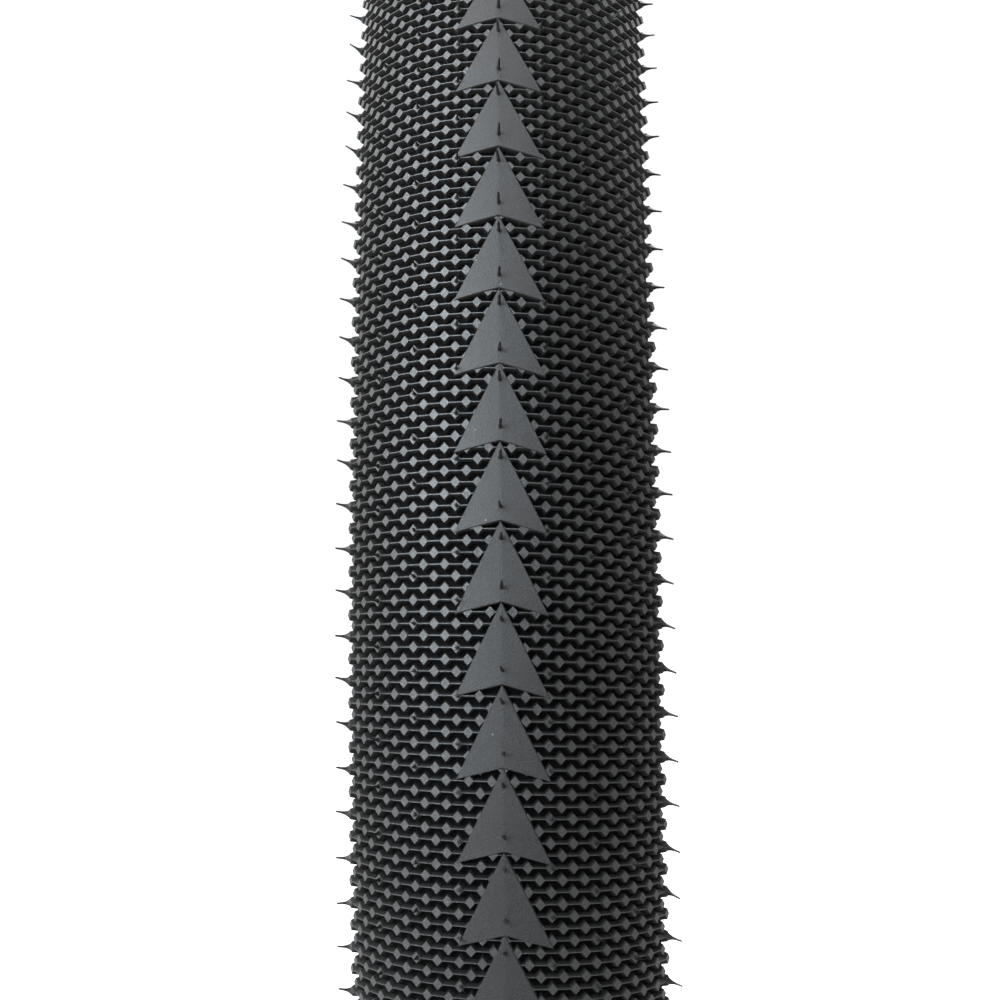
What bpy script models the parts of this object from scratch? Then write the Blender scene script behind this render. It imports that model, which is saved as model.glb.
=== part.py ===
"""A 42-622 gravel bicycle tyre, modelled as the layers that it is built from.

Frame: metres, +Z up, origin at the wheel's centre, axle along Y. The tyre rolls towards +X,
and its left side is +Y. Sizes below are millimetres, and each section is drawn as (side, radius):
side is the distance from the centre plane, and radius the distance from the axle.
"""

import math

import bmesh
import bpy

MM = 0.001
RING_STEPS = 48  # facets round the wheel, a multiple of four so that the box is exact

# Driving dimensions
BEAD_SEAT_RADIUS = 311.0
TREAD_CROWN_RADIUS = 354.0
LAYER_GAP = 0.2

# Tread: the smooth surface through the tops of its knobs. Going round it from the crown, it turns
# down by this many degrees a millimetre, and by this many more for every millimetre gone.
TREAD_BEND = 1.531
TREAD_BEND_GROWTH = 0.0852
TREAD_HALF_WRAP = 26.2
TREAD_FACETS = 6

# Casing: the outer face of the folded ply, crown to bead. A negative radius curves the other way.
PLY_THICKNESS = 0.5
CASING_CROWN_RADIUS = 350.4
CASING_ARCS = (
    (38.4, (13.0,)),
    (13.7, (33.0, 52.0, 67.0)),
    (12.0, (100.0,)),
    (34.0, (112.0, 124.0)),
    (-12.0, (90.0,)),
)
CROWN, ARC_END, SHOULDER, TREAD_LAP, TREAD_EDGE, WIDEST, MID_WALL, LOWER_WALL, BEAD_SIDE = range(9)

# Layers on the casing: how far each face lies outside the casing's outer face
BREAKER = (LAYER_GAP, LAYER_GAP + 0.5)
UNDERTREAD = (BREAKER[1] + LAYER_GAP, BREAKER[1] + LAYER_GAP + 0.5)
TREAD_SEAT = UNDERTREAD[1] + LAYER_GAP
SIDEWALL = (LAYER_GAP, LAYER_GAP + 0.6)
TREAD_LAP_SEAT = SIDEWALL[1] + LAYER_GAP
INNER_PLY_STEP = PLY_THICKNESS + LAYER_GAP
LINER_THICKNESS = 0.5
CHAFER_THICKNESS = 0.5

# Bead core: a round bundle, drawn with six sides, and the rubber filler on top of it
CORE_RADIUS = 1.55
CORE_SIDES = 6
BEAD_WIDTH = 6.81
FILLER_CORNERS = ((1.9, 5.75), (4.6, 5.75), (6.0, 9.2))  # from the bead's toe corner

TYRE_PARTS = "bicycle_tyre"


def walk(start, arcs):
    """Points along tangent arcs that leave the crown sideways and turn down to the bead."""
    side, radius = start
    heading = 0.0
    points = [start]
    for bend, headings in arcs:
        for stop in headings:
            a, b = math.radians(heading), math.radians(stop)
            side += bend * (math.sin(b) - math.sin(a))
            radius += bend * (math.cos(b) - math.cos(a))
            points.append((side, radius))
            heading = stop
    return points


def tread_curve():
    """Points down the outside of the tread, at even steps from the crown to its edge."""
    fine = 40
    step = TREAD_HALF_WRAP / TREAD_FACETS / fine
    side, radius, points = 0.0, TREAD_CROWN_RADIUS, []
    for i in range(TREAD_FACETS * fine + 1):
        if i % fine == 0:
            points.append((side, radius))
        gone = (i + 0.5) * step
        heading = math.radians(TREAD_BEND * gone + TREAD_BEND_GROWTH * gone * gone / 2)
        side += step * math.cos(heading)
        radius -= step * math.sin(heading)
    return points


def offset(points, distance):
    """The open line moved sideways by distance, with mitred corners; positive is to its left."""
    normals = []
    for (ax, ay), (bx, by) in zip(points, points[1:]):
        length = math.hypot(bx - ax, by - ay)
        normals.append(((ay - by) / length, (bx - ax) / length))
    moved = []
    for i, (x, y) in enumerate(points):
        ux, uy = normals[max(i - 1, 0)]
        vx, vy = normals[min(i, len(normals) - 1)]
        scale = distance / (1 + ux * vx + uy * vy)
        moved.append((x + (ux + vx) * scale, y + (uy + vy) * scale))
    return moved


def between(a, b, share):
    """The point that share of the way from a to b."""
    return (a[0] + (b[0] - a[0]) * share, a[1] + (b[1] - a[1]) * share)


def mirrored(points):
    """A half line, crown first, made whole: left end, crown, right end."""
    return [(-side, radius) for side, radius in reversed(points)] + points[1:]


def layer(line, low, high):
    """The closed section between two offsets of a line that runs from left to right."""
    return offset(line, high) + offset(line, low)[::-1]


def outward(half):
    """A right half outline as it stands, and the same one for the left side."""
    return {"right": [(-s, r) for s, r in half][::-1], "left": half}


def ring(name, outline, colour, roughness):
    """Turns a closed outline of (side, radius) points round the axle."""
    area = sum(a[0] * b[1] - b[0] * a[1] for a, b in zip(outline, outline[1:] + outline[:1]))
    if area < 0:
        outline = outline[::-1]
    mesh = bpy.data.meshes.new(name)
    shape = bmesh.new()
    corners = [shape.verts.new((radius * MM, side * MM, 0)) for side, radius in outline]
    for a, b in zip(corners, corners[1:] + corners[:1]):
        shape.edges.new((a, b))
    shape.to_mesh(mesh)
    shape.free()
    part = bpy.data.objects.new(name, mesh)
    bpy.data.collections[TYRE_PARTS].objects.link(part)
    turn = part.modifiers.new("Turn", "SCREW")
    turn.axis = "Y"
    turn.angle = 2 * math.pi
    turn.steps = turn.render_steps = RING_STEPS
    turn.use_merge_vertices = True
    turn.merge_threshold = 0.00001
    turn.use_smooth_shade = True
    part.data.materials.append(material(name, colour, roughness))
    return part


def material(name, colour, roughness):
    """A plain finish for one part."""
    finish = bpy.data.materials.new(name)
    finish.use_nodes = True
    shader = finish.node_tree.nodes["Principled BSDF"]
    shader.inputs["Base Color"].default_value = (*colour, 1)
    shader.inputs["Roughness"].default_value = roughness
    shader.inputs["Metallic"].default_value = 0
    return finish


def tread_band(casing):
    """The moulded rubber band: knob tops outside, and a seat for the layers under it inside."""
    seat = offset(casing, TREAD_SEAT)[: TREAD_LAP + 1]
    lap = offset(casing, TREAD_LAP_SEAT)
    step = between(lap[TREAD_LAP], lap[TREAD_EDGE], 0.15)
    end = between(lap[TREAD_LAP], lap[TREAD_EDGE], 0.85)
    outline = mirrored(tread_curve()) + mirrored(seat + [step, end])[::-1]
    ring("tread_band", outline, (0.035, 0.035, 0.037), 0.55)


def strips_under_tread(casing):
    """The gum strip that bonds the tread, and the woven breaker that stops punctures."""
    whole = mirrored(casing[: TREAD_LAP + 1])
    ring("undertread_gum", layer(whole, *UNDERTREAD), (0.05, 0.045, 0.04), 0.6)
    short_end = between(casing[SHOULDER], casing[TREAD_LAP], 0.6)
    narrow = mirrored(casing[: SHOULDER + 1] + [short_end])
    ring("breaker_belt", layer(narrow, *BREAKER), (0.32, 0.24, 0.08), 0.8)


def folded_casing(casing, inner_run, toe):
    """One fabric ply, bead to bead, turned up round both bead cores to under the tread's edge."""
    half = PLY_THICKNESS / 2
    outer_run = offset(casing, -half)
    leg = casing[BEAD_SIDE][0] - half
    low = BEAD_SEAT_RADIUS + CHAFER_THICKNESS + LAYER_GAP + half
    turn = [(toe + half, low), (leg, low)]
    turn_up = outer_run[TREAD_EDGE : BEAD_SIDE + 1][::-1]
    line = mirrored(inner_run + turn + turn_up)
    ring("casing_ply", layer(line, -half, half), (0.07, 0.065, 0.055), 0.75)


def inner_liner(inner_run):
    """The air-tight butyl skin on the inside of the ply."""
    step = PLY_THICKNESS / 2 + LAYER_GAP
    leg_end = between(inner_run[-2], inner_run[-1], 0.5)
    line = mirrored(inner_run[:-1] + [leg_end])
    ring("inner_liner", layer(line, -step - LINER_THICKNESS, -step), (0.03, 0.03, 0.03), 0.45)


def sidewalls(casing):
    """The rubber skin of each sidewall, tucked under the tread's edge."""
    top = between(casing[TREAD_LAP], casing[TREAD_EDGE], 0.4)
    half = layer([top] + casing[TREAD_EDGE : LOWER_WALL + 1], *SIDEWALL)
    for hand, outline in outward(half).items():
        ring("sidewall_" + hand, outline, (0.03, 0.03, 0.032), 0.6)


def chafers(casing, toe):
    """The woven strip round each bead, which takes the rim's rubbing. Its outer side is flat."""
    gap = LAYER_GAP + CHAFER_THICKNESS / 2
    middle = CHAFER_THICKNESS / 2
    wall = offset(casing, gap)
    start = between(wall[LOWER_WALL], wall[BEAD_SIDE], 0.15)
    side = casing[BEAD_SIDE][0] + gap
    low = BEAD_SEAT_RADIUS + middle
    inner = toe - gap
    line = [start, (side, wall[BEAD_SIDE][1]), (side, low), (inner, low), (inner, low + 1.7)]
    for hand, outline in outward(layer(line, -middle, middle)).items():
        ring("chafer_" + hand, outline, (0.045, 0.042, 0.04), 0.7)


def beads(toe):
    """The aramid bundle that holds the tyre on the rim, and the filler strip above it."""
    low = BEAD_SEAT_RADIUS + CHAFER_THICKNESS + 2 * LAYER_GAP + PLY_THICKNESS
    middle = toe + BEAD_WIDTH / 2 - CHAFER_THICKNESS - LAYER_GAP
    turns = [2 * math.pi * i / CORE_SIDES for i in range(CORE_SIDES)]
    core = [
        (middle + CORE_RADIUS * math.sin(t), low + CORE_RADIUS + 0.1 + CORE_RADIUS * math.cos(t))
        for t in turns
    ]
    filler = [(toe + side, BEAD_SEAT_RADIUS + up) for side, up in FILLER_CORNERS]
    for hand, outline in outward(core).items():
        ring("bead_core_" + hand, outline, (0.55, 0.42, 0.12), 0.7)
    for hand, outline in outward(filler).items():
        ring("bead_filler_" + hand, outline, (0.05, 0.05, 0.05), 0.6)


def main():
    for old in list(bpy.data.objects):
        bpy.data.objects.remove(old)
    bpy.context.scene.collection.children.link(bpy.data.collections.new(TYRE_PARTS))

    casing = walk((0.0, CASING_CROWN_RADIUS), CASING_ARCS)
    toe = casing[BEAD_SIDE][0] + 2 * (LAYER_GAP + CHAFER_THICKNESS) - BEAD_WIDTH
    inner_face = offset(casing, -INNER_PLY_STEP - PLY_THICKNESS / 2)
    leg_top = (toe + PLY_THICKNESS / 2, BEAD_SEAT_RADIUS + 5.5)
    leg_foot = (leg_top[0], BEAD_SEAT_RADIUS + 2.5)
    inner_run = inner_face[: LOWER_WALL + 1] + [leg_top, leg_foot]

    tread_band(casing)
    strips_under_tread(casing)
    folded_casing(casing, inner_run[:-1], toe)
    inner_liner(inner_run)
    sidewalls(casing)
    chafers(casing, toe)
    beads(toe)


main()
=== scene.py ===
# Gravel bicycle tyre, standing upright on a pale studio floor. Metres, +Z up.
# The axle runs along Y, the tyre's left side is +Y, and it rolls towards +X.
import math

import bmesh
import bpy
from mathutils import Matrix, Vector


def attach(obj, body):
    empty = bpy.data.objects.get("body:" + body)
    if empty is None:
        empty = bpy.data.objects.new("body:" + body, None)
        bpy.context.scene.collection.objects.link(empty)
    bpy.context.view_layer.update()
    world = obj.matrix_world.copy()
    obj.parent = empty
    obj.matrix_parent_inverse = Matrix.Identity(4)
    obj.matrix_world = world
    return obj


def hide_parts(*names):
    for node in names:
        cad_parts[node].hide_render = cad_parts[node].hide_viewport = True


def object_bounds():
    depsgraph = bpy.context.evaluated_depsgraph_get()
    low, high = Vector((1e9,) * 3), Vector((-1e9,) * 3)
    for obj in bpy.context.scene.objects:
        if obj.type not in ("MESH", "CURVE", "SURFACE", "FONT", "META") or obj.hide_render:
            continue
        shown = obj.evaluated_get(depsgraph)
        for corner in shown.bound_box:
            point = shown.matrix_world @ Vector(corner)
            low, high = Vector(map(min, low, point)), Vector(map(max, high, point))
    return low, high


mm = 0.001
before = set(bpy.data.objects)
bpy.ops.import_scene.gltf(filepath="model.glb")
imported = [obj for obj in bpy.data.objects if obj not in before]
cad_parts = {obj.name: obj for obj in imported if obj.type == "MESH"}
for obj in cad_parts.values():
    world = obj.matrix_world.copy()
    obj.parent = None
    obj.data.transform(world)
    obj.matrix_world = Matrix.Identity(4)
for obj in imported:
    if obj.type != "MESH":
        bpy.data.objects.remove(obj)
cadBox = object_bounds()
print("frame loaded:", len(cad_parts), "nodes")


def addNode(tree, kind, sockets=None, **settings):
    node = tree.nodes.new(kind)
    for key, value in settings.items():
        setattr(node, key, value)
    for key, value in (sockets or {}).items():
        plug(tree, value, node.inputs[key])
    return node


def plug(tree, value, socket):
    if isinstance(value, bpy.types.NodeSocket):
        tree.links.new(value, socket)
    else:
        socket.default_value = value


def calc(tree, operation, *values):
    node = tree.nodes.new("ShaderNodeMath")
    node.operation = operation
    for value, socket in zip(values, node.inputs):
        plug(tree, value, socket)
    return node.outputs[0]


def addSockets(tree, direction, sockets):
    for name, kind, *default in sockets:
        socket = tree.interface.new_socket(
            name=name, in_out=direction, socket_type="NodeSocket" + kind
        )
        if default:
            socket.default_value = default[0]


def aim(obj, target, roll=0.0):
    turn = (Vector(target) - obj.location).to_track_quat("-Z", "Y").to_matrix()
    obj.rotation_euler = (turn @ Matrix.Rotation(roll, 3, "Z")).to_euler()


cameraSetup = {
    "lens": 50.4,
    "sensor": 36.0,
    "distance": 529.9 * mm,  # from the wheel's centre
    "lift": math.radians(6.03),  # angle above the wheel's centre
    "sideStep": -7.0 * mm,
    "yaw": math.radians(2.28),
    "roll": math.radians(-0.84),
    "nearest": 10.0 * mm,
}


def makeCamera(setup):
    data = bpy.data.cameras.new("camera")
    data.lens = setup["lens"]
    data.sensor_width = setup["sensor"]
    data.clip_start = setup["nearest"]
    data.dof.use_dof = False
    camera = bpy.data.objects.new("camera", data)
    bpy.context.scene.collection.objects.link(camera)
    reach, lift = setup["distance"], setup["lift"]
    camera.location = (-reach * math.cos(lift), setup["sideStep"], reach * math.sin(lift))
    ahead = Vector((math.cos(setup["yaw"]), math.sin(setup["yaw"]), 0))
    aim(camera, camera.location + ahead, setup["roll"])
    bpy.context.scene.camera = camera


makeCamera(cameraSetup)


tyre = {
    "crownRadius": 354.0 * mm,  # to the tops of the knobs
    "beadSeatRadius": 311.0 * mm,
    "treadBend": 1531.0,  # degrees a metre that the tread turns down, at the crown
    "treadBendGrowth": 85200.0,  # and how much more for each metre away from it
    "treadHalfWrap": 26.2 * mm,
    "patternDepth": 1.0 * mm,
    "arrowCount": 216,
    "rowCount": 1480,  # rows of knobs round the tyre, even so that the pattern closes
    "patternSkew": 0.0328,  # how far the pattern's left side runs ahead, for each metre across
    "patternBow": 0.92,  # a metre; its rows curve back towards the edges
    "halfStep": 1.455 * mm,  # from one column of knobs to the next, round the section
    "layerGap": 0.2 * mm,
    "casingCrownRadius": 350.4 * mm,
    "steps": 432,  # facets round the wheel
}
rowStep = 2 * math.pi * tyre["crownRadius"] / tyre["rowCount"]
arrowStep = 2 * math.pi * tyre["crownRadius"] / tyre["arrowCount"]
notchAngle = math.radians(20.29)  # of one arrow's apex, above the level of the axle
casingArcs = (  # bend radius in mm, and the heading in degrees where that bend ends
    (38.4, 13.0),
    (13.7, 67.0),
    (12.0, 100.0),
    (34.0, 124.0),
    (-12.0, 90.0),
)


def treadHeading(gone):
    # how far the tread has turned down, this far from the crown
    return math.radians(tyre["treadBend"] * gone + tyre["treadBendGrowth"] * gone * gone / 2)


def treadLine(halfWrap, spacing=0.2 * mm):
    # points (side, radius) from the crown outwards, with the heading at each
    count = round(halfWrap / spacing)
    side, radius, points = 0.0, tyre["crownRadius"], []
    for i in range(count + 1):
        gone = i * spacing
        points.append((side, radius, treadHeading(gone)))
        heading = treadHeading(gone + spacing / 2)
        side += spacing * math.cos(heading)
        radius -= spacing * math.sin(heading)
    return points


def casingLine(turn=4.0):
    # the casing's outer face from the crown to the bead, and the index where each arc ends
    side, radius, heading = 0.0, tyre["casingCrownRadius"], 0.0
    points, ends = [(side, radius)], []
    for bend, stop in casingArcs:
        count = max(2, round(abs(stop - heading) / turn))
        for i in range(1, count + 1):
            a = math.radians(heading + (stop - heading) * (i - 1) / count)
            b = math.radians(heading + (stop - heading) * i / count)
            side += bend * mm * (math.sin(b) - math.sin(a))
            radius += bend * mm * (math.cos(b) - math.cos(a))
            points.append((side, radius))
        heading = stop
        ends.append(len(points) - 1)
    return points, ends


def offsetLine(points, distance):
    normals = []
    for (ax, ay), (bx, by) in zip(points, points[1:]):
        length = math.hypot(bx - ax, by - ay)
        normals.append(((ay - by) / length, (bx - ax) / length))
    moved = []
    for i, (x, y) in enumerate(points):
        ux, uy = normals[max(i - 1, 0)]
        vx, vy = normals[min(i, len(normals) - 1)]
        scale = distance / (1 + ux * vx + uy * vy)
        moved.append((x + (ux + vx) * scale, y + (uy + vy) * scale))
    return moved


def between(a, b, share):
    return (a[0] + (b[0] - a[0]) * share, a[1] + (b[1] - a[1]) * share)


def whole(half):
    return [(-side, radius) for side, radius in reversed(half)] + half[1:]


def layer(line, low, high):
    return offsetLine(line, high) + offsetLine(line, low)[::-1]


def signedArea(outline):
    following = outline[1:] + outline[:1]
    return sum(a[0] * b[1] - b[0] * a[1] for a, b in zip(outline, following)) / 2


def mirrorOutline(outline):
    return [(-side, radius) for side, radius in reversed(outline)]


def turnRing(name, outline, material, replaced=None, steps=None, sharp=40.0):
    # a closed outline turned round the axle, with a UV map in metres: round, and along the section
    steps = steps or tyre["steps"]
    if signedArea(outline) < 0:
        outline = outline[::-1]
    shape = bmesh.new()
    uvLayer = shape.loops.layers.uv.new("UVMap")
    rings = []
    for i in range(steps):
        turn = 2 * math.pi * i / steps
        rings.append([
            shape.verts.new((-radius * math.cos(turn), side, radius * math.sin(turn)))
            for side, radius in outline
        ])
    along = [0.0]
    for a, b in zip(outline, outline[1:] + outline[:1]):
        along.append(along[-1] + math.hypot(b[0] - a[0], b[1] - a[1]))
    arc = 2 * math.pi * tyre["crownRadius"] / steps
    count = len(outline)
    for i in range(steps):
        here, there = rings[i], rings[(i + 1) % steps]
        for j in range(count):
            k = (j + 1) % count
            face = shape.faces.new((here[j], here[k], there[k], there[j]))
            corners = ((i, j), (i, j + 1), (i + 1, j + 1), (i + 1, j))
            for loop, (u, v) in zip(face.loops, corners):
                loop[uvLayer].uv = (u * arc, along[v])
    mesh = bpy.data.meshes.new(name)
    shape.to_mesh(mesh)
    shape.free()
    return finishPiece(bpy.data.objects.new(name, mesh), material, replaced, sharp)


def finishPiece(piece, material, replaced=None, sharp=None, tops=None):
    if not piece.users_collection:
        bpy.context.scene.collection.objects.link(piece)
    if sharp is not None:
        piece.data.shade_smooth()
        piece.data.set_sharp_from_angle(angle=math.radians(sharp))
    piece.data.materials.clear()
    piece.data.materials.append(material)
    if tops:  # the last of every so many faces are a stamp's top, with a finish of its own
        topMaterial, facesEach, topFaces = tops
        piece.data.materials.append(topMaterial)
        for face in piece.data.polygons:
            face.material_index = int(face.index % facesEach >= facesEach - topFaces)
    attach(piece, "root")
    if replaced:
        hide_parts(*replaced)
    return piece


skinPattern = {
    "cloudScale": 60.0,
    "cloudDetail": 4.0,
    "cloudRoughness": 0.6,
    "grainDetail": 3.0,
    "grainRoughness": 0.65,
    "grainGloss": 0.25,  # how much the grain varies the roughness
    "speckScale": 330.0,
    "speckEdge": (0.06, 0.03),  # from a speck's outline to where it is full
    "bloomEdge": (0.4, 0.7),  # cloud values where bloom starts and is full
    "dustColour": (0.55, 0.53, 0.5, 1),
}


def ramp(tree, value, edge):
    sockets = {"Value": value, "From Min": edge[0], "From Max": edge[1]}
    return addNode(tree, "ShaderNodeMapRange", sockets).outputs[0]


def mixColour(tree, share, low, high):
    node = addNode(tree, "ShaderNodeMix", {"Factor": share}, data_type="RGBA")
    plug(tree, low, node.inputs[6])
    plug(tree, high, node.inputs[7])
    return node.outputs[2]


def makeRubberSkin(spec):
    # colour, roughness and height of moulded rubber: fine grain, faint bloom and specks of dust
    tree = bpy.data.node_groups.new("rubberSkin", "ShaderNodeTree")
    addSockets(tree, "INPUT", (
        ("Colour", "Color", (0.03, 0.03, 0.03, 1)),
        ("Bloom Colour", "Color", (0.09, 0.09, 0.095, 1)),
        ("Bloom", "Float", 0.4),
        ("Dust", "Float", 0.2),
        ("Grain Scale", "Float", 5000.0),
        ("Roughness", "Float", 0.5),
        ("Mottle", "Float", 1.2),
    ))
    addSockets(tree, "OUTPUT", (("Colour", "Color"), ("Roughness", "Float"), ("Height", "Float")))
    given = addNode(tree, "NodeGroupInput").outputs
    place = addNode(tree, "ShaderNodeTexCoord").outputs["Object"]
    clouds = addNode(tree, "ShaderNodeTexNoise", {
        "Vector": place,
        "Scale": spec["cloudScale"],
        "Detail": spec["cloudDetail"],
        "Roughness": spec["cloudRoughness"],
    }).outputs[0]
    grain = addNode(tree, "ShaderNodeTexNoise", {
        "Vector": place,
        "Scale": given["Grain Scale"],
        "Detail": spec["grainDetail"],
        "Roughness": spec["grainRoughness"],
    }).outputs[0]
    specks = addNode(tree, "ShaderNodeTexVoronoi", {
        "Vector": place,
        "Scale": spec["speckScale"],
        "Randomness": 1.0,
    }).outputs["Distance"]
    speckMask = ramp(tree, specks, spec["speckEdge"])
    patches = ramp(tree, clouds, spec["bloomEdge"])
    bloom = calc(tree, "MULTIPLY", patches, given["Bloom"])
    cover = calc(tree, "MULTIPLY", calc(tree, "MULTIPLY", speckMask, patches), given["Dust"])
    grey = mixColour(tree, bloom, given["Colour"], given["Bloom Colour"])
    lean = calc(tree, "SUBTRACT", grain, 0.5)
    mottle = calc(tree, "ADD", calc(tree, "MULTIPLY", lean, given["Mottle"]), 1.0)
    grainy = addNode(tree, "ShaderNodeVectorMath", {0: grey, 1: mottle}, operation="MULTIPLY")
    dusty = mixColour(tree, cover, grainy.outputs[0], spec["dustColour"])
    gloss = calc(tree, "MULTIPLY", lean, spec["grainGloss"])
    rough = calc(tree, "ADD", given["Roughness"], gloss)
    out = addNode(tree, "NodeGroupOutput")
    plug(tree, dusty, out.inputs["Colour"])
    plug(tree, rough, out.inputs["Roughness"])
    plug(tree, grain, out.inputs["Height"])
    return tree


def makeCordWeave():
    # two crossed sets of cords on the UV map, in metres
    tree = bpy.data.node_groups.new("cordWeave", "ShaderNodeTree")
    addSockets(tree, "INPUT", (
        ("Spacing", "Float", 0.0006),
        ("Angle", "Float", 0.785),
        ("Second Set", "Float", 1.0),
    ))
    addSockets(tree, "OUTPUT", (("Cords", "Float"), ("Height", "Float")))
    given = addNode(tree, "NodeGroupInput").outputs
    uv = addNode(tree, "ShaderNodeUVMap", uv_map="UVMap").outputs[0]
    parts = addNode(tree, "ShaderNodeSeparateXYZ", {0: uv}).outputs
    ripples = []
    for sign in (1, -1):
        turn = calc(tree, "MULTIPLY", given["Angle"], sign)
        roundPart = calc(tree, "MULTIPLY", parts[0], calc(tree, "SINE", turn))
        sectionPart = calc(tree, "MULTIPLY", parts[1], calc(tree, "COSINE", turn))
        across = calc(tree, "ADD", roundPart, sectionPart)
        phase = calc(tree, "MULTIPLY", calc(tree, "DIVIDE", across, given["Spacing"]), math.pi)
        ripples.append(calc(tree, "ABSOLUTE", calc(tree, "SINE", phase)))
    second = calc(tree, "MULTIPLY", ripples[1], given["Second Set"])
    height = calc(tree, "MAXIMUM", ripples[0], second)
    out = addNode(tree, "NodeGroupOutput")
    plug(tree, calc(tree, "POWER", height, 2.0), out.inputs["Cords"])
    plug(tree, height, out.inputs["Height"])
    return tree


rubberSkin = makeRubberSkin(skinPattern)
cordWeave = makeCordWeave()


def newMaterial(name, specular=0.5):
    material = bpy.data.materials.new(name)
    material.use_nodes = True
    shader = material.node_tree.nodes["Principled BSDF"]
    shader.inputs["Metallic"].default_value = 0
    shader.inputs["Specular IOR Level"].default_value = specular
    return material, material.node_tree, shader


def rubber(
    name, colour, bloomColour, bloom, dust, roughness,
    grainScale=5000.0, bump=0.25, relief=0.02 * mm, specular=0.5, mottle=1.2,
):
    material, tree, shader = newMaterial(name, specular)
    skin = addNode(tree, "ShaderNodeGroup", node_tree=rubberSkin)
    values = {
        "Colour": (*colour, 1),
        "Bloom Colour": (*bloomColour, 1),
        "Bloom": bloom,
        "Dust": dust,
        "Grain Scale": grainScale,
        "Roughness": roughness,
        "Mottle": mottle,
    }
    for key, value in values.items():
        skin.inputs[key].default_value = value
    lumps = addNode(tree, "ShaderNodeBump", {
        "Strength": bump,
        "Distance": relief,
        "Height": skin.outputs["Height"],
    })
    plug(tree, skin.outputs["Colour"], shader.inputs["Base Color"])
    plug(tree, skin.outputs["Roughness"], shader.inputs["Roughness"])
    plug(tree, lumps.outputs[0], shader.inputs["Normal"])
    return material


def cordFabric(name, low, high, spacing, angle, secondSet, roughness, relief, bump=0.8):
    material, tree, shader = newMaterial(name)
    weave = addNode(tree, "ShaderNodeGroup", node_tree=cordWeave)
    values = {"Spacing": spacing, "Angle": math.radians(angle), "Second Set": secondSet}
    for key, value in values.items():
        weave.inputs[key].default_value = value
    colour = mixColour(tree, weave.outputs["Cords"], (*low, 1), (*high, 1))
    lumps = addNode(tree, "ShaderNodeBump", {
        "Strength": bump,
        "Distance": relief,
        "Height": weave.outputs["Height"],
    })
    plug(tree, colour, shader.inputs["Base Color"])
    plug(tree, lumps.outputs[0], shader.inputs["Normal"])
    shader.inputs["Roughness"].default_value = roughness
    return material


treadTops = rubber(
    "treadTops", colour=(0.03, 0.03, 0.031), bloomColour=(0.047, 0.048, 0.05),
    bloom=0.6, dust=0.5, roughness=0.4, grainScale=5500.0,
    bump=1.0, relief=0.08 * mm, specular=0.58, mottle=2.0,
)
arrowTops = rubber(
    "arrowTops", colour=(0.0175, 0.0175, 0.0185), bloomColour=(0.029, 0.03, 0.032),
    bloom=0.6, dust=1.0, roughness=0.5, grainScale=5600.0,
    bump=1.0, relief=0.07 * mm, specular=0.45, mottle=5.0,
)
flankRubber = rubber(
    "flankRubber", colour=(0.034, 0.034, 0.0345), bloomColour=(0.046, 0.046, 0.047),
    bloom=0.5, dust=0.1, roughness=0.6, grainScale=4000.0, specular=0.22,
)
# the floor between the knobs: the same rubber as the tops, but its colour is painted far darker as
# the shade that falls in the channels; it is also rougher and duller
grooveShadeRubber = rubber(
    "grooveShadeRubber", colour=(0.006, 0.006, 0.0065), bloomColour=(0.009, 0.009, 0.0095),
    bloom=0.5, dust=0.3, roughness=0.75, grainScale=2500.0, specular=0.05,
)
spewRubber = rubber(
    "spewRubber", colour=(0.012, 0.012, 0.013), bloomColour=(0.016, 0.016, 0.017),
    bloom=0.5, dust=0.0, roughness=0.32, grainScale=4000.0,
)
sidewallRubber = rubber(
    "sidewallRubber", colour=(0.022, 0.022, 0.023), bloomColour=(0.035, 0.035, 0.036),
    bloom=0.5, dust=0.15, roughness=0.58, grainScale=2500.0, specular=0.35,
)
linerRubber = rubber(
    "linerRubber", colour=(0.02, 0.02, 0.02), bloomColour=(0.03, 0.03, 0.03),
    bloom=0.4, dust=0.1, roughness=0.38, grainScale=1200.0,
)
gumRubber = rubber(
    "gumRubber", colour=(0.05, 0.045, 0.04), bloomColour=(0.07, 0.065, 0.06),
    bloom=0.3, dust=0.0, roughness=0.6,
)
fillerRubber = rubber(
    "fillerRubber", colour=(0.04, 0.04, 0.04), bloomColour=(0.05, 0.05, 0.05),
    bloom=0.3, dust=0.0, roughness=0.6,
)
# low and high are the colours between the cords and on them; the angle is in degrees
chaferWeave = cordFabric(
    "chaferWeave", low=(0.016, 0.016, 0.016), high=(0.05, 0.048, 0.046),
    spacing=0.6 * mm, angle=45, secondSet=1.0, roughness=0.62, relief=0.12 * mm,
)
plyFabric = cordFabric(
    "plyFabric", low=(0.03, 0.028, 0.025), high=(0.09, 0.08, 0.065),
    spacing=0.4 * mm, angle=45, secondSet=0.0, roughness=0.7, relief=0.08 * mm,
)
breakerWeave = cordFabric(
    "breakerWeave", low=(0.16, 0.11, 0.03), high=(0.4, 0.3, 0.1),
    spacing=0.7 * mm, angle=60, secondSet=1.0, roughness=0.75, relief=0.1 * mm,
)
beadFibre = cordFabric(
    "beadFibre", low=(0.3, 0.22, 0.05), high=(0.6, 0.46, 0.14),
    spacing=0.35 * mm, angle=80, secondSet=0.0, roughness=0.6, relief=0.06 * mm,
)
print("finishes made")


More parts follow.
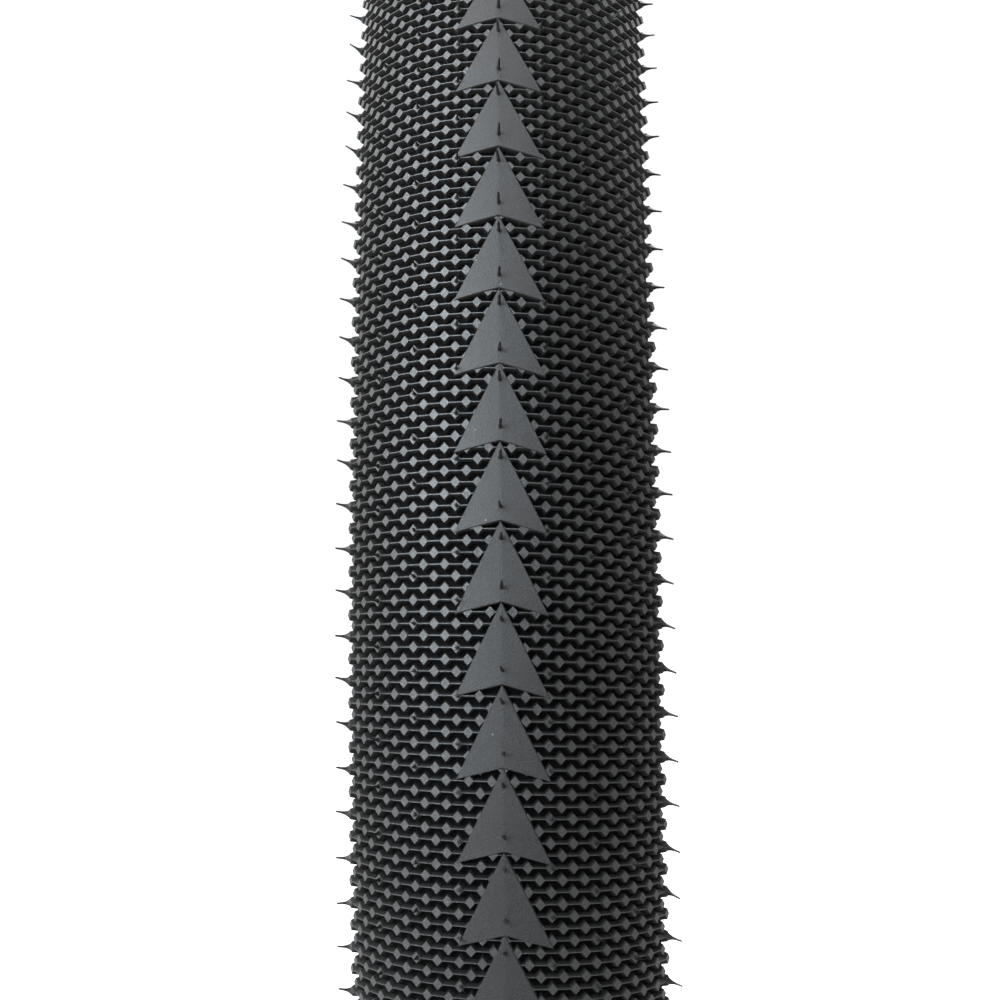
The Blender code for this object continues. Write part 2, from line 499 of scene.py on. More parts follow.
layers = {
    "plyThickness": 0.5 * mm,
    "breakerThickness": 0.5 * mm,
    "undertreadThickness": 0.5 * mm,
    "sidewallThickness": 0.6 * mm,
    "linerThickness": 0.5 * mm,
    "chaferThickness": 0.5 * mm,
    "beadWidth": 6.81 * mm,
    "coreRadius": 1.55 * mm,
    "filler": ((1.9, 5.75), (4.6, 5.75), (6.0, 9.2)),  # mm, from the bead's toe corner
    "lapPoints": 3,  # how many casing points before the shoulder's end the tread's lap begins
    "treadMargin": 0.5 * mm,  # from the floor's edge to the last knobs' feet
    "treadEdgeShare": 0.45,
    "legTop": 5.5 * mm,  # of the ply inside the bead, above the seat
    "legFoot": 2.5 * mm,
    "chaferLip": 1.7 * mm,
    "coreSides": 12,
    "coreRoom": 0.1 * mm,
    "hiddenSteps": {"belts": 192, "ply": 216, "liner": 288, "walls": 360, "beads": 144},
}


def makeLayers(spec):
    gap = tyre["layerGap"]
    casing, ends = casingLine()
    shoulderEnd, lowerWall, beadSide = ends[1], ends[3], ends[4]
    lap = shoulderEnd - spec["lapPoints"]
    steps = spec["hiddenSteps"]
    seat = gap + spec["breakerThickness"] + gap + spec["undertreadThickness"] + gap
    lapSeat = gap + spec["sidewallThickness"] + gap

    # tread: its floor between the knobs, its edges, and its seat on the layers below
    depth = tyre["patternDepth"]
    floor = [
        (side - depth * math.sin(heading), radius - depth * math.cos(heading))
        for side, radius, heading in treadLine(tyre["treadHalfWrap"] - spec["treadMargin"])[::5]
    ]
    seatLine = offsetLine(casing, seat)[: lap + 1]
    lapLine = offsetLine(casing, lapSeat)
    edge = between(floor[-1], lapLine[shoulderEnd], spec["treadEdgeShare"])
    under = [lapLine[lap + 1], lapLine[shoulderEnd]]
    outline = whole(floor + [edge]) + whole(seatLine + under)[::-1]
    # the floor's dark colour is painted shade of the channels between the knobs
    turnRing("treadBase", outline, grooveShadeRubber, ["tread_band"])

    low = gap + spec["breakerThickness"] + gap
    gum = layer(whole(casing[: lap + 1]), low, low + spec["undertreadThickness"])
    turnRing("undertreadGum", gum, gumRubber, ["undertread_gum"], steps["belts"])
    belt = layer(whole(casing[: lap - 1]), gap, gap + spec["breakerThickness"])
    turnRing("breakerBelt", belt, breakerWeave, ["breaker_belt"], steps["belts"])

    # ply, folded round both beads and up again to under the tread's edge
    ply = spec["plyThickness"]
    toe = casing[beadSide][0] + 2 * (gap + spec["chaferThickness"]) - spec["beadWidth"]
    seatRadius = tyre["beadSeatRadius"]
    inner = offsetLine(casing, -1.5 * ply - gap)
    legTop = (toe + ply / 2, seatRadius + spec["legTop"])
    legFoot = (legTop[0], seatRadius + spec["legFoot"])
    innerRun = inner[: lowerWall + 1] + [legTop, legFoot]
    foot = seatRadius + spec["chaferThickness"] + gap + ply / 2
    turnUp = offsetLine(casing, -ply / 2)[shoulderEnd : beadSide + 1][::-1]
    legFootOut = (casing[beadSide][0] - ply / 2, foot)
    line = whole(innerRun[:-1] + [(legTop[0], foot), legFootOut] + turnUp)
    sheet = layer(line, -ply / 2, ply / 2)
    turnRing("casingPly", sheet, plyFabric, ["casing_ply"], steps["ply"])

    # air-tight liner inside the ply
    step = ply / 2 + gap
    line = whole(innerRun[:-1] + [between(legTop, legFoot, 0.5)])
    liner = layer(line, -step - spec["linerThickness"], -step)
    turnRing("innerLiner", liner, linerRubber, ["inner_liner"], steps["liner"])

    # sidewalls, chafers, bead cores and fillers
    wall = [between(casing[lap], casing[lap + 1], 0.4)] + casing[lap + 1 : lowerWall + 1]
    wallOutline = layer(wall, gap, gap + spec["sidewallThickness"])
    middle = spec["chaferThickness"] / 2
    run = offsetLine(casing, gap + middle)
    side = casing[beadSide][0] + gap + middle
    innerSide = toe - gap - middle
    line = [between(run[lowerWall], run[lowerWall + 1], 0.5)] + run[lowerWall + 1 : beadSide]
    line += [
        (side, run[beadSide][1]),
        (side, seatRadius + middle),
        (innerSide, seatRadius + middle),
        (innerSide, seatRadius + middle + spec["chaferLip"]),
    ]
    chaferOutline = layer(line, -middle, middle)
    coreLow = seatRadius + spec["chaferThickness"] + 2 * gap + ply
    coreSide = toe + spec["beadWidth"] / 2 - spec["chaferThickness"] - gap
    r = spec["coreRadius"]
    turns = [2 * math.pi * i / spec["coreSides"] for i in range(spec["coreSides"])]
    middleUp = coreLow + r + spec["coreRoom"]
    core = [(coreSide + r * math.sin(t), middleUp + r * math.cos(t)) for t in turns]
    filler = [(toe + x * mm, seatRadius + up * mm) for x, up in spec["filler"]]
    pairs = (
        ("sidewall", "sidewall", wallOutline, sidewallRubber, "sidewall_rubber", "walls"),
        ("chafer", "chafer", chaferOutline, chaferWeave, "chafer_weave", "walls"),
        ("beadCore", "bead_core", core, beadFibre, "bead_fibre", "beads"),
        ("beadFiller", "bead_filler", filler, fillerRubber, "filler_rubber", "beads"),
    )
    for hand in ("Left", "Right"):
        for name, node, outline, material, slot, count in pairs:
            outline = outline if hand == "Left" else mirrorOutline(outline)
            replaced = [node + "_" + hand.lower()]
            turnRing(name + hand, outline, material, replaced, steps[count])


makeLayers(layers)
print("layers turned")


def sectionCurve(name, half):
    # half: (side, radius) points; as a curve it runs in X = radius, Y = side
    data = bpy.data.curves.new(name, "CURVE")
    data.dimensions = "3D"
    spline = data.splines.new("POLY")
    spline.points.add(len(half) - 1)
    for point, (side, radius) in zip(spline.points, half):
        point.co = (radius, side, 0, 1)
    guide = bpy.data.objects.new(name, data)
    bpy.context.scene.collection.objects.link(guide)
    return guide


def makeWrapTree():
    # sets a stamp on a grid of rows and columns, and wraps the flat sheet round the tyre
    tree = bpy.data.node_groups.new("wrapOnTyre", "GeometryNodeTree")
    addSockets(tree, "INPUT", (
        ("Geometry", "Geometry"),
        ("Section", "Object"),
        ("Section Middle", "Float", 0.0),  # how far along the section a side place of 0 is
        ("First Column", "Int", 0),
        ("Columns", "Int", 1),
        ("Column Step", "Float", 0.001),
        ("Rows", "Int", 1),
        ("Row Step", "Float", 0.001),
        ("First Row Place", "Float", 0.0),
        ("Checker", "Int", 0),  # 1 or 2: only the odd or the even places
        ("Arrow Half Width", "Float", 1.0),
        ("Arrow Length", "Float", 1.0),
        ("Arrow Step", "Float", 1.0),
        ("Arrow Place", "Float", 0.0),
        ("Side Cover", "Float", 0.0),  # how far inside an arrow's outline a stamp is hidden by it
        ("Row Cover", "Float", 0.0),
        ("Lean", "Float", 0.0),
        ("Seed", "Int", 0),
        ("Radius", "Float", 0.354),
        ("Skew", "Float", 0.0),
        ("Bow", "Float", 0.0),
        ("Material", "Material"),
    ))
    addSockets(tree, "OUTPUT", (("Geometry", "Geometry"),))
    given = addNode(tree, "NodeGroupInput").outputs
    total = calc(tree, "MULTIPLY", given["Rows"], given["Columns"])
    points = addNode(tree, "GeometryNodePoints", {"Count": total})
    index = addNode(tree, "GeometryNodeInputIndex").outputs[0]
    share = calc(tree, "DIVIDE", calc(tree, "ADD", index, 0.5), given["Columns"])
    row = calc(tree, "FLOOR", share)
    inRow = calc(tree, "SUBTRACT", index, calc(tree, "MULTIPLY", row, given["Columns"]))
    column = calc(tree, "ADD", inRow, given["First Column"])
    side = calc(tree, "MULTIPLY", column, given["Column Step"])
    rowsDown = calc(tree, "MULTIPLY", row, given["Row Step"])
    along = calc(tree, "SUBTRACT", given["First Row Place"], rowsDown)
    spot = addNode(tree, "ShaderNodeCombineXYZ", {"X": side, "Y": along}).outputs[0]

    # odd or even places only
    place = calc(tree, "ADD", calc(tree, "ADD", row, column), given["Checker"])
    odd = calc(tree, "FLOORED_MODULO", place, 2.0)
    checked = calc(tree, "MINIMUM", given["Checker"], 1.0)
    drop = calc(tree, "MULTIPLY", odd, checked)

    # hidden inside an arrow: its own body, or a wing of the one before it
    fromFirst = calc(tree, "SUBTRACT", given["Arrow Place"], along)
    below = calc(tree, "FLOORED_MODULO", fromFirst, given["Arrow Step"])
    away = calc(tree, "ABSOLUTE", side)
    slope = calc(tree, "DIVIDE", given["Arrow Half Width"], given["Arrow Length"])
    notchDrop = calc(tree, "SUBTRACT", given["Arrow Length"], given["Arrow Step"])
    cover = given["Side Cover"]
    bodyEdge = calc(tree, "SUBTRACT", calc(tree, "MULTIPLY", below, slope), cover)
    inBody = calc(tree, "LESS_THAN", away, bodyEdge)
    belowPrevious = calc(tree, "ADD", below, given["Arrow Step"])
    wingEdge = calc(tree, "SUBTRACT", calc(tree, "MULTIPLY", belowPrevious, slope), cover)
    sideShare = calc(tree, "DIVIDE", away, given["Arrow Half Width"])
    notchLine = calc(tree, "MULTIPLY", sideShare, notchDrop)
    aboveNotch = calc(tree, "LESS_THAN", calc(tree, "ADD", below, given["Row Cover"]), notchLine)
    inWing = calc(tree, "MULTIPLY", calc(tree, "LESS_THAN", away, wingEdge), aboveNotch)
    hidden = calc(tree, "MULTIPLY", calc(tree, "MAXIMUM", inBody, inWing), checked)
    keep = calc(tree, "LESS_THAN", calc(tree, "ADD", drop, hidden), 0.5)

    placed = addNode(tree, "GeometryNodeSetPosition", {
        "Geometry": points.outputs[0],
        "Position": spot,
    })
    tilt = addNode(
        tree, "FunctionNodeRandomValue", {"Seed": given["Seed"]}, data_type="FLOAT_VECTOR"
    )
    leans = (calc(tree, "MULTIPLY", given["Lean"], -1.0), given["Lean"])
    for lean, socket in zip(leans, tilt.inputs):  # its least and its most
        same = addNode(tree, "ShaderNodeCombineXYZ", {"X": lean, "Y": lean, "Z": lean})
        plug(tree, same.outputs[0], socket)
    copies = addNode(tree, "GeometryNodeInstanceOnPoints", {
        "Points": placed.outputs[0],
        "Selection": keep,
        "Instance": given["Geometry"],
        "Rotation": tilt.outputs[0],
    })
    real = addNode(tree, "GeometryNodeRealizeInstances", {"Geometry": copies.outputs[0]})

    # flat place (side, along, height) to the tyre
    here = addNode(tree, "GeometryNodeInputPosition").outputs[0]
    flat = addNode(tree, "ShaderNodeSeparateXYZ", {0: here}).outputs
    guide = addNode(
        tree, "GeometryNodeObjectInfo", {"Object": given["Section"]}, transform_space="ORIGINAL"
    ).outputs["Geometry"]
    sample = addNode(tree, "GeometryNodeSampleCurve", {
        "Curves": guide,
        "Length": calc(tree, "ADD", flat[0], given["Section Middle"]),
    }, mode="LENGTH", use_all_curves=True)
    at = addNode(tree, "ShaderNodeSeparateXYZ", {0: sample.outputs["Position"]}).outputs
    tangent = addNode(tree, "ShaderNodeSeparateXYZ", {0: sample.outputs["Tangent"]}).outputs
    radius = calc(tree, "ADD", at[0], calc(tree, "MULTIPLY", flat[2], tangent[1]))
    across = calc(tree, "SUBTRACT", at[1], calc(tree, "MULTIPLY", flat[2], tangent[0]))
    bow = calc(tree, "MULTIPLY", flat[0], given["Bow"])
    ahead = calc(tree, "MULTIPLY", flat[0], calc(tree, "SUBTRACT", given["Skew"], bow))
    turn = calc(tree, "DIVIDE", calc(tree, "ADD", flat[1], ahead), given["Radius"])
    forward = calc(tree, "MULTIPLY", radius, calc(tree, "COSINE", turn))
    wrapped = addNode(tree, "ShaderNodeCombineXYZ", {
        "X": calc(tree, "MULTIPLY", forward, -1.0),
        "Y": across,
        "Z": calc(tree, "MULTIPLY", radius, calc(tree, "SINE", turn)),
    }).outputs[0]
    bent = addNode(tree, "GeometryNodeSetPosition", {
        "Geometry": real.outputs[0],
        "Position": wrapped,
    })
    coated = addNode(tree, "GeometryNodeSetMaterial", {
        "Geometry": bent.outputs[0],
        "Material": given["Material"],
    })
    out = addNode(tree, "NodeGroupOutput")
    plug(tree, coated.outputs[0], out.inputs[0])
    return tree


wrapTree = makeWrapTree()


def wrapStamp(name, stamp, values):
    piece = bpy.data.objects.new(name, stamp)
    bpy.context.scene.collection.objects.link(piece)
    layout = piece.modifiers.new("layout", "NODES")
    layout.node_group = wrapTree
    for item in wrapTree.interface.items_tree:
        if item.in_out == "INPUT" and item.name in values:
            layout[item.identifier] = values[item.name]
    ready = bpy.context.evaluated_depsgraph_get()
    result = bpy.data.meshes.new_from_object(piece.evaluated_get(ready))
    piece.modifiers.clear()
    piece.data = result
    bpy.data.meshes.remove(stamp)
    if result.uv_layers.get("UVMap") is None:
        result.uv_layers.new(name="UVMap")
    # the wrap turns the sheet over where its axes swap hands, so outward is set again
    shape = bmesh.new()
    shape.from_mesh(result)
    bmesh.ops.reverse_faces(shape, faces=shape.faces)
    shape.to_mesh(result)
    shape.free()
    result.name = name
    return piece


def stampMesh(name, loops):
    # a stack of loops of (x, y, z) points, lowest first; its faces: the bottom, the sides, the top
    shape = bmesh.new()
    rings = [[shape.verts.new(p) for p in loop] for loop in loops]
    shape.faces.new(rings[0][::-1])
    for low, high in zip(rings, rings[1:]):
        for i in range(len(low)):
            j = (i + 1) % len(low)
            shape.faces.new([low[i], low[j], high[j], high[i]])
    shape.faces.new(rings[-1])
    mesh = bpy.data.meshes.new(name)
    shape.to_mesh(mesh)
    shape.free()
    return mesh


def diamondLoop(x, y, z):
    return [(x, 0, z), (0, y, z), (-x, 0, z), (0, -y, z)]


def boxLoop(x, y, z):
    return [(x, -y, z), (x, y, z), (-x, y, z), (-x, -y, z)]


tread = {
    "lastColumn": 17,
    "knobSide": 0.455,  # half diagonals, in column and row steps
    "knobAlong": 0.485,
    "knobDraft": 0.3 * mm,  # how much wider the knob is at its foot
    "sunk": 0.15 * mm,  # how far feet go below the floor
    "ribHalfLength": 0.72,
    "ribTop": 0.06 * mm,
    "ribFoot": 0.3 * mm,
    "ribDrop": 0.03 * mm,
    "firstRow": 1.657,  # rows from the first arrow's apex down to the first row counted
    "stampFaces": 6,
    # how far inside an arrow's outline a piece must be to be left out: metres sideways, and rows
    "knobCover": (0.64 * mm, 0.47),
    "ribCover": (0.9 * mm, 0.1),
}
arrow = {
    "halfWidth": 4.1 * tyre["halfStep"],
    "length": 1.154 * arrowStep,
    "step": arrowStep,
    "rise": 0.2 * mm,  # above the knobs, at its centre line and tips
    "flatten": 0.06 * mm,  # makes each half flat
    "bevel": 0.1 * mm,
    "draft": 0.14 * mm,
    "crease": 0.015 * mm,  # along the centre line
    "stations": (0, 0.02, 0.25, 0.5, 0.75, 1),  # shares of the half width
    "mitre": 0.55,  # blunts the sharp corners
    "sharp": 2.0,
}
arrowPlace = notchAngle * tyre["crownRadius"]

guideWrap = 29 * mm
half = [(side, radius) for side, radius, heading in treadLine(guideWrap)]
treadGuide = sectionCurve("treadGuide", whole(half))
common = {
    "Section": treadGuide,
    "Section Middle": guideWrap,
    "Column Step": tyre["halfStep"],
    "Row Step": rowStep,
    "Rows": tyre["rowCount"],
    "Skew": tyre["patternSkew"],
    "Bow": tyre["patternBow"],
    "Radius": tyre["crownRadius"],
    "Arrow Half Width": arrow["halfWidth"],
    "Arrow Length": arrow["length"],
    "Arrow Step": arrow["step"],
    "Arrow Place": arrowPlace,
    "Material": grooveShadeRubber,
}
# the first row has knobs in its odd columns
firstRowPlace = arrowPlace - tread["firstRow"] * rowStep
foot = -tyre["patternDepth"] - tread["sunk"]


def makeKnobs(spec):
    x, y = spec["knobSide"] * tyre["halfStep"], spec["knobAlong"] * rowStep
    draft = spec["knobDraft"]
    length = spec["ribHalfLength"] * tyre["halfStep"]
    last = spec["lastColumn"]
    tops = (treadTops, spec["stampFaces"], 1)
    for hand, first, columns in (("Left", 0, last + 1), ("Right", -last, last)):
        loops = [diamondLoop(x + draft, y + draft, foot), diamondLoop(x, y, 0)]
        side, rows = spec["knobCover"]
        values = {
            **common,
            "First Column": first,
            "Columns": columns,
            "First Row Place": firstRowPlace,
            "Checker": 1,
            "Side Cover": side,
            "Row Cover": rows * rowStep,
        }
        knobs = wrapStamp("knobs" + hand, stampMesh("knob", loops), values)
        finishPiece(knobs, flankRubber, tops=tops)

        # between the knobs, so they stop one column short of the edge
        loops = [
            boxLoop(length, spec["ribFoot"], foot),
            boxLoop(length, spec["ribTop"], -spec["ribDrop"]),
        ]
        side, rows = spec["ribCover"]
        values.update({
            "First Column": max(first, 1 - last),
            "Columns": columns - 1,
            "Checker": 2,
            "Side Cover": side,
            "Row Cover": rows * rowStep,
        })
        ribs = wrapStamp("ribs" + hand, stampMesh("rib", loops), values)
        finishPiece(ribs, flankRubber, tops=tops)


def makeArrows(spec):
    # stations from the left tip to the right one; the centre line is a fine crease
    shares = spec["stations"]
    places = [-s for s in reversed(shares[1:])] + list(shares)
    wide, long, step = spec["halfWidth"], spec["length"], spec["step"]
    upper = [(p * wide, -abs(p) * long) for p in places]
    lower = [(p * wide, -step - abs(p) * (long - step)) for p in places[1:-1]]
    outline = upper[::-1] + lower  # right tip, apex, left tip, notch

    def height(x):
        share = min(abs(x) / wide, 1.0)
        crease = spec["crease"] if share < shares[1] / 2 else 0.0
        return spec["rise"] - spec["flatten"] * 4 * share * (1 - share) - crease

    def grow(distance):
        # the outline moved outwards by distance, with blunted mitres
        moved = []
        count = len(outline)
        for i, (x, y) in enumerate(outline):
            (ax, ay), (bx, by) = outline[i - 1], outline[(i + 1) % count]
            u = Vector((y - ay, ax - x)).normalized()
            v = Vector((by - y, x - bx)).normalized()
            push = (u + v) / max(1 + u.dot(v), spec["mitre"])
            moved.append((x + push.x * distance, y + push.y * distance))
        return moved

    sign = 1 if signedArea(outline) > 0 else -1
    loops = [
        [(x, y, foot) for x, y in grow(sign * spec["draft"])],
        [(x, y, height(x) - spec["bevel"]) for x, y in outline],
        [(x, y, height(x)) for x, y in grow(-sign * spec["bevel"])],
    ]
    shape = bmesh.new()
    rings = [[shape.verts.new(p) for p in loop] for loop in loops]
    count = len(outline)
    for low, high in zip(rings, rings[1:]):
        for i in range(count):
            j = (i + 1) % count
            shape.faces.new([low[i], low[j], high[j], high[i]])
    last = len(places) - 1
    for ring in (rings[0], rings[-1]):  # strips between the leading and the trailing edges
        for i in range(last):
            c = ring[0] if i == 0 else ring[(count - i) % count]
            d = ring[last] if i + 1 == last else ring[count - i - 1]
            corners = [ring[i], ring[i + 1], d, c]
            shape.faces.new([v for k, v in enumerate(corners) if v not in corners[:k]])
    bmesh.ops.recalc_face_normals(shape, faces=shape.faces)
    if sum(f.normal.z * f.calc_area() for f in shape.faces) < 0:
        bmesh.ops.reverse_faces(shape, faces=shape.faces)
    mesh = bpy.data.meshes.new("arrow")
    shape.to_mesh(mesh)
    shape.free()
    values = {
        **common,
        "Rows": tyre["arrowCount"],
        "Row Step": spec["step"],
        "First Row Place": arrowPlace,
    }
    blocks = wrapStamp("arrowBlocks", mesh, values)
    tops = (arrowTops, 2 * count + 2 * last, last)
    finishPiece(blocks, flankRubber, sharp=spec["sharp"], tops=tops)


spews = {
    "length": 2.2 * mm,
    "rootShare": 0.5,  # of the knob's top
    "rootShift": 0.14 * mm,  # off the knob's middle, towards the right side
    "centreLength": 2.1 * mm,
    "centreShare": 0.6,
    "centreRise": 0.3,  # how far these lean forwards, for each metre out
    "lean": 0.12,
    "sunk": 0.02 * mm,
    "everyRows": 4,
    "centreSeed": 20,
    # column, which of the rows has one, and how far it leans sideways and forwards
    "columns": (
        (4, 1, -0.35, 0.1), (8, 3, -0.3, 0.1), (12, 1, -0.15, 0.1),
        (-4, 3, 0.0, 0.1), (-8, 1, 0.1, 0.1), (-12, 3, 0.0, 0.1),
    ),
    "edgeColumns": ((17, 0, 0.0, 0.2), (-17, 2, 0.0, -0.3)),
    "edgeShare": 0.85,
    "edgeLength": 1.95 * mm,
    "centrePlaces": (0.22, 0.83),  # shares of an arrow's step, from its apex
    # outlines: shares of the length, and how wide it is there
    "sweep": ((0.0, 1.0), (0.14, 0.66), (0.32, 0.38), (0.6, 0.22), (1.0, 0.07)),
    "thorn": ((0.0, 1.0), (0.16, 0.66), (0.34, 0.4), (0.6, 0.26), (0.96, 0.2), (1.0, 0.1)),
    "hair": ((0.0, 1.0), (0.1, 0.72), (0.35, 0.5), (0.8, 0.4), (1.0, 0.2)),
}


def spewStamp(profile, share, length, sideways=0.0, forwards=0.0, shift=0.0):
    # a diamond root that runs out into a fine hair
    x = tread["knobSide"] * tyre["halfStep"] * share
    y = tread["knobAlong"] * rowStep * share
    loops = [
        [
            (px + sideways * up * length - shift, py + forwards * up * length, pz)
            for px, py, pz in diamondLoop(x * wide, y * wide, up * length - spews["sunk"])
        ]
        for up, wide in profile
    ]
    return stampMesh("spew", loops)


def makeSpews(spec):
    every = spec["everyRows"]
    kinds = (
        ("columns", "sweep", spec["rootShare"], spec["length"], spec["rootShift"]),
        ("edgeColumns", "thorn", spec["edgeShare"], spec["edgeLength"], 0.0),
    )
    parts = []
    for columns, profile, share, length, shift in kinds:
        for column, row, sideways, forwards in spec[columns]:
            values = {
                **common,
                "First Column": column,
                "Rows": tyre["rowCount"] // every,
                "Row Step": every * rowStep,
                "First Row Place": firstRowPlace - row * rowStep,
                "Lean": spec["lean"],
                "Seed": len(parts),
            }
            stamp = spewStamp(spec[profile], share, length, sideways, forwards, shift)
            parts.append(wrapStamp("spewRow", stamp, values))
    for number, place in enumerate(spec["centrePlaces"]):
        values = {
            **common,
            "Rows": tyre["arrowCount"],
            "Row Step": arrow["step"],
            "First Row Place": arrowPlace - place * arrow["step"],
            "Lean": spec["lean"],
            "Seed": spec["centreSeed"] + number,
        }
        stamp = spewStamp(
            spec["hair"], spec["centreShare"], spec["centreLength"], forwards=spec["centreRise"]
        )
        parts.append(wrapStamp("spewRow", stamp, values))
    shape = bmesh.new()
    for part in parts:
        shape.from_mesh(part.data)
        bpy.data.objects.remove(part)
    mesh = bpy.data.meshes.new("ventSpews")
    shape.to_mesh(mesh)
    shape.free()
    finishPiece(bpy.data.objects.new("ventSpews", mesh), spewRubber)


makeKnobs(tread)
print("knobs and ribs wrapped")
makeArrows(arrow)
makeSpews(spews)
bpy.data.objects.remove(treadGuide)
print("arrows and spews wrapped")


sidewallDetails = {
    "arrows": 4,  # raised rotation arrows on each side
    "arrowPlace": 33.5 * mm,  # along the section, from the crown
    "arrowRise": 0.35 * mm,
    "arrowSunk": 0.1 * mm,
    "arrowSlope": 0.15 * mm,
    "arrowStart": 0.12,  # metres round, from the level of the axle
    "barHalfWidth": 0.7 * mm,
    "headHalfWidth": 2.2 * mm,
    "barLength": 20 * mm,
    "barPieces": 8,
    "headLength": 6 * mm,
    "tip": 0.05 * mm,
    "mouldLines": ((29.5, 0.28), (45.5, 0.3), (47.0, 0.3)),  # mm along the section, and half thick
    "lineSides": 8,
    "lineSteps": 288,
}


def ribbonStamp(name, stations, low, high, slope):
    # a flat raised strip: stations are (along, half width)
    shape = bmesh.new()
    rows = []
    for y, wide in stations:
        corners = ((-wide - slope, low), (-wide, high), (wide, high), (wide + slope, low))
        rows.append([shape.verts.new((x, y, z)) for x, z in corners])
    for a, b in zip(rows, rows[1:]):
        for i in range(4):  # the last one is the underside
            k = (i + 1) % 4
            shape.faces.new((a[i], a[k], b[k], b[i]))
    shape.faces.new(rows[0][::-1])
    shape.faces.new(rows[-1])
    bmesh.ops.recalc_face_normals(shape, faces=shape.faces)
    mesh = bpy.data.meshes.new(name)
    shape.to_mesh(mesh)
    shape.free()
    return mesh


def makeSidewallDetails(spec):
    outer = offsetLine(casingLine()[0], tyre["layerGap"] + layers["sidewallThickness"])
    lengths = [0.0]
    for a, b in zip(outer, outer[1:]):
        lengths.append(lengths[-1] + math.hypot(b[0] - a[0], b[1] - a[1]))
    guide = sectionCurve("sidewallGuide", whole(outer))
    bar, head, pieces = spec["barLength"], spec["headLength"], spec["barPieces"]
    start = -bar * 0.6
    stations = [(start + bar * i / pieces, spec["barHalfWidth"]) for i in range(pieces + 1)]
    neck = stations[-1][0]
    stations += [
        (neck + spec["tip"], spec["headHalfWidth"]),
        (neck + head / 2, spec["headHalfWidth"] / 2),
        (neck + head, spec["tip"]),
    ]
    turns = [2 * math.pi * i / spec["lineSides"] for i in range(spec["lineSides"])]
    for hand, side in (("Left", 1), ("Right", -1)):
        stamp = ribbonStamp(
            "rotationArrow", stations, -spec["arrowSunk"], spec["arrowRise"], spec["arrowSlope"]
        )
        values = {
            "Section": guide,
            "Section Middle": lengths[-1],
            "First Column": side,
            "Columns": 1,
            "Column Step": spec["arrowPlace"],
            "Rows": spec["arrows"],
            "Row Step": 2 * math.pi * tyre["crownRadius"] / spec["arrows"],
            "First Row Place": spec["arrowStart"],
            "Radius": tyre["crownRadius"],
            "Material": sidewallRubber,
        }
        arrows = wrapStamp("rotationArrows" + hand, stamp, values)
        finishPiece(arrows, sidewallRubber, sharp=30.0)
        for number, (place, thick) in enumerate(spec["mouldLines"]):
            k = max(i for i, gone in enumerate(lengths) if gone <= place * mm)
            share = (place * mm - lengths[k]) / (lengths[k + 1] - lengths[k])
            spot = between(outer[k], outer[k + 1], share)
            ridge = [
                (spot[0] + thick * mm * math.cos(t), spot[1] + thick * mm * math.sin(t))
                for t in turns
            ]
            ridge = ridge if side > 0 else mirrorOutline(ridge)
            name = f"mouldLine{number + 1}{hand}"
            turnRing(name, ridge, sidewallRubber, steps=spec["lineSteps"])
    bpy.data.objects.remove(guide)


makeSidewallDetails(sidewallDetails)
print("sidewalls marked")


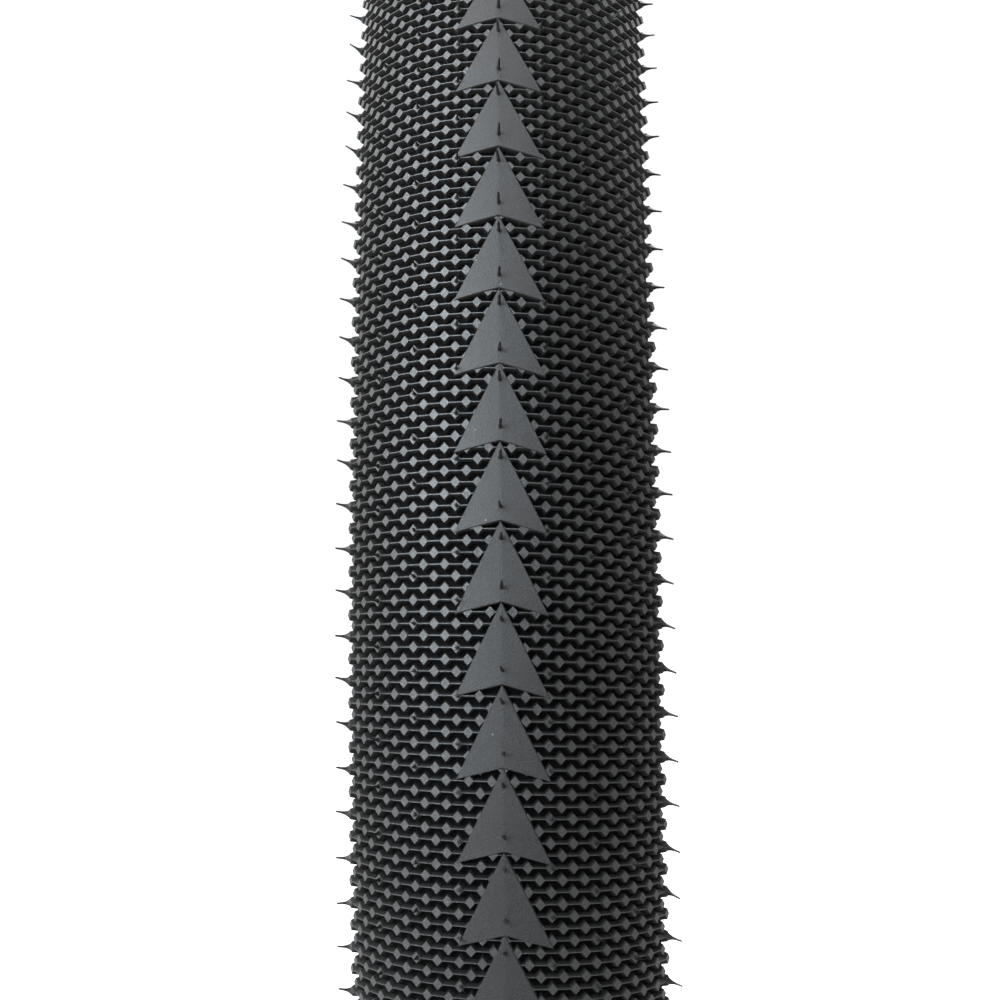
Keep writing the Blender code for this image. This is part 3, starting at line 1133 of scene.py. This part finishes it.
studio = {
    "lamps": {
        # a window's gleam on the rubber, seen only in reflections
        "sheen": {
            "place": (-1.0, 0.5, 0.46), "target": (-0.35, 0, 0.05), "size": (0.35, 0.5),
            "power": 22.0, "colour": (0.84, 0.94, 1.0), "diffuse": False,
        },
        "side": {
            "place": (-0.42, 0.85, 0.32), "target": (-0.35, 0, 0.05), "size": (1.0, 1.0),
            "power": 8.5, "colour": (0.97, 0.98, 1.0), "diffuse": True,
        },
        "top": {
            "place": (-0.6, 0.25, 1.3), "target": (-0.35, 0, 0.05), "size": (1.0, 1.0),
            "power": 12.0, "colour": (1.0, 1.0, 1.0), "diffuse": True,
        },
        "backLeft": {
            "place": (0.7, 0.8, 1.5), "target": (0, 0, 0), "size": (1.5, 1.5),
            "power": 20.0, "colour": (1.0, 1.0, 1.0), "diffuse": True,
        },
        "backRight": {
            "place": (0.7, -0.8, 1.5), "target": (0, 0, 0), "size": (1.5, 1.5),
            "power": 20.0, "colour": (1.0, 1.0, 1.0), "diffuse": True,
        },
    },
    "ambient": 0.5,
    "background": 1.05,
    "floorHalfSize": 12,
    "floorDrop": 0.5 * mm,  # below the tyre
    "floorGrey": 0.8,
    "floorGlow": 0.8,
    "floorRoughness": 0.9,
    "floorSpecular": 0.2,
}


def makeStudio(spec):
    for name, setup in spec["lamps"].items():
        data = bpy.data.lights.new(name, "AREA")
        data.shape = "RECTANGLE"
        data.size, data.size_y = setup["size"]
        data.energy = setup["power"]
        data.color = setup["colour"]
        lamp = bpy.data.objects.new(name, data)
        bpy.context.scene.collection.objects.link(lamp)
        lamp.location = setup["place"]
        aim(lamp, setup["target"])
        lamp.visible_diffuse = setup["diffuse"]

    world = bpy.data.worlds.new("studio")
    bpy.context.scene.world = world
    world.use_nodes = True
    tree = world.node_tree
    seen = addNode(tree, "ShaderNodeLightPath").outputs["Is Camera Ray"]
    extra = calc(tree, "MULTIPLY", seen, spec["background"] - spec["ambient"])
    strength = calc(tree, "ADD", spec["ambient"], extra)
    plug(tree, strength, tree.nodes["Background"].inputs["Strength"])
    tree.nodes["Background"].inputs["Color"].default_value = (1, 1, 1, 1)

    mesh = bpy.data.meshes.new("studioFloor")
    shape = bmesh.new()
    bmesh.ops.create_grid(shape, x_segments=1, y_segments=1, size=spec["floorHalfSize"])
    level = cadBox[0][2] - spec["floorDrop"]
    bmesh.ops.translate(shape, verts=shape.verts, vec=(0, 0, level))
    shape.to_mesh(mesh)
    shape.free()
    floor = bpy.data.objects.new("studioFloor", mesh)
    bpy.context.scene.collection.objects.link(floor)
    material, tree, shader = newMaterial("paleFloor", spec["floorSpecular"])
    shader.inputs["Base Color"].default_value = (*[spec["floorGrey"]] * 3, 1)
    shader.inputs["Roughness"].default_value = spec["floorRoughness"]
    seen = addNode(tree, "ShaderNodeLightPath").outputs["Is Camera Ray"]
    glow = calc(tree, "MULTIPLY", seen, spec["floorGlow"])
    shader.inputs["Emission Color"].default_value = (1, 1, 1, 1)
    plug(tree, glow, shader.inputs["Emission Strength"])
    mesh.materials.append(material)
    bpy.context.scene.view_settings.view_transform = "Standard"


makeStudio(studio)
print("studio lit")
